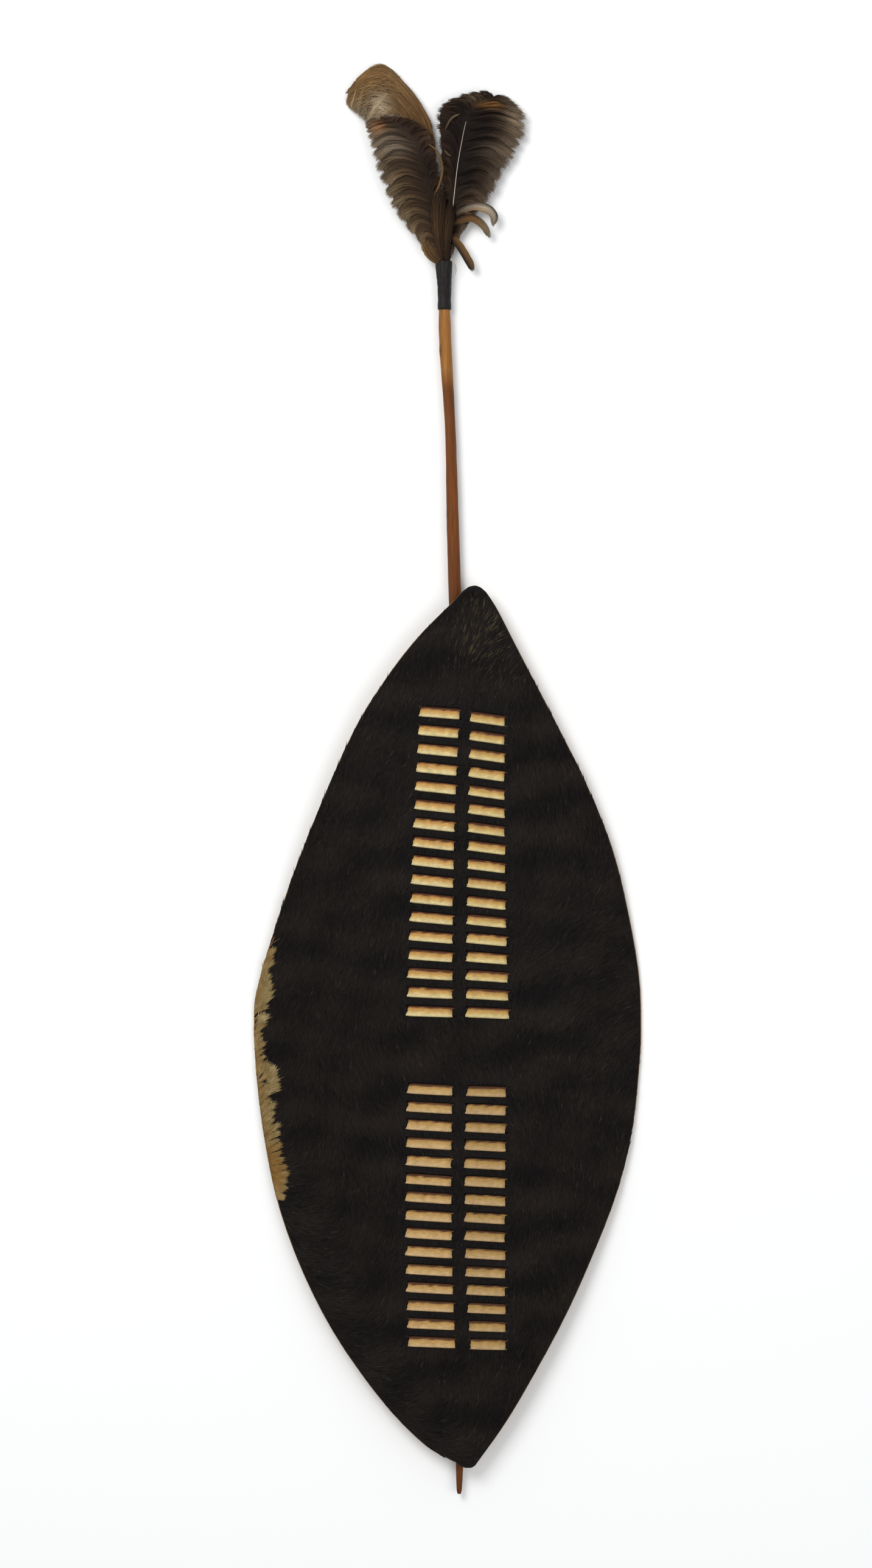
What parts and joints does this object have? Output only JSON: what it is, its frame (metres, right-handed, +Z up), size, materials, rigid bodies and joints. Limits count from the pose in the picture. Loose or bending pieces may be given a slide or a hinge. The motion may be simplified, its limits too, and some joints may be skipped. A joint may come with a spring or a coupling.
{
  "type": "hide shield",
  "caption": "Leaf-shaped hair-on cowhide shield lying face up: pale hide strips laced through its face, a wooden stick tied along its back, and ostrich plumes in a sleeve at the stick's head.",
  "frame": {"origin": "below the middle of the outline, on the surface that the shield lies on", "axes": "+X across the shield to its right as seen from the front, +Y along the stick towards the plumes, +Z up out of the hide's face"},
  "size_m": [0.409, 1.5062, 0.0242],
  "materials": {
    "hide": "black hair-on cowhide, short glossy hair on the face and raw tan skin behind",
    "lacing": "pale dried hide strip, matt",
    "stick": "scraped and handled hardwood, light at the head and dark below",
    "stick_lace": "pale rawhide thong, matt",
    "binding": "black skin shrunk on and wrinkled lengthwise, dull",
    "plume_tan": "tan ostrich plume",
    "plume_brown": "brown ostrich plume with pale tips",
    "plume_dark": "dark brown ostrich plume with grey-tan tips"
  },
  "bodies": {
    "root": {"hide": "hide", "lacing_upper_left": "lacing", "lacing_upper_right": "lacing", "lacing_lower_left": "lacing", "lacing_lower_right": "lacing", "stick": "stick", "stick_lace_1": "stick_lace", "stick_lace_2": "stick_lace", "stick_lace_3": "stick_lace", "stick_lace_4": "stick_lace", "stick_lace_5": "stick_lace", "stick_lace_6": "stick_lace", "binding_sleeve": "binding", "plume_left_tall": "plume_tan", "plume_left_short": "plume_brown", "plume_right": "plume_dark"}
  },
  "joints": []
}
